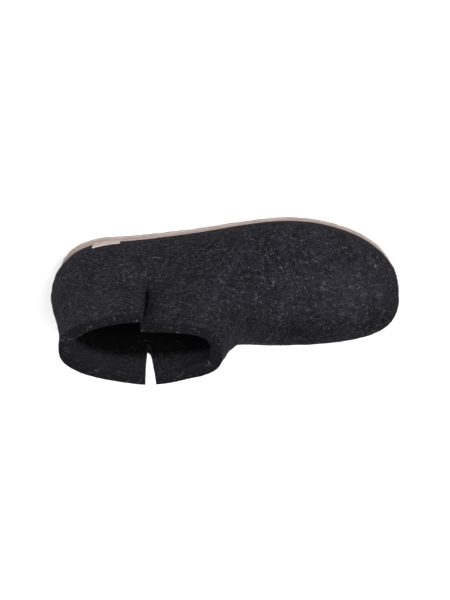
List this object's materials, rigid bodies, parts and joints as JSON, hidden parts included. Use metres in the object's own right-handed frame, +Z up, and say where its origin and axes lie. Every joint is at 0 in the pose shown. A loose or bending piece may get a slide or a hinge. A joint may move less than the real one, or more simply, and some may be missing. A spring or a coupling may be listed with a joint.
{
  "type": "felt slipper",
  "caption": "Ankle-high slipper for the left foot, with a thick felt upper slit at both ankles and a thin suede leather sole.",
  "frame": {"origin": "middle of the slipper's bounding box, on the floor it stands on", "axes": "+X towards the toe, +Y towards the outer side of the foot, +Z up"},
  "size_m": [0.2836, 0.1038, 0.125],
  "materials": {
    "felt": "thick charcoal felt with paler fibres, matt",
    "insole_felt": "charcoal felt, matt",
    "midsole_leather": "cut edge of pale leather, matt",
    "outsole_suede": "pale suede, napped, matt",
    "tag_leather": "bare pale leather, matt"
  },
  "bodies": {
    "root": {"upper": "felt", "insole": "insole_felt", "midsole": "midsole_leather", "outsole": "outsole_suede", "side_tag": "tag_leather"}
  },
  "joints": []
}
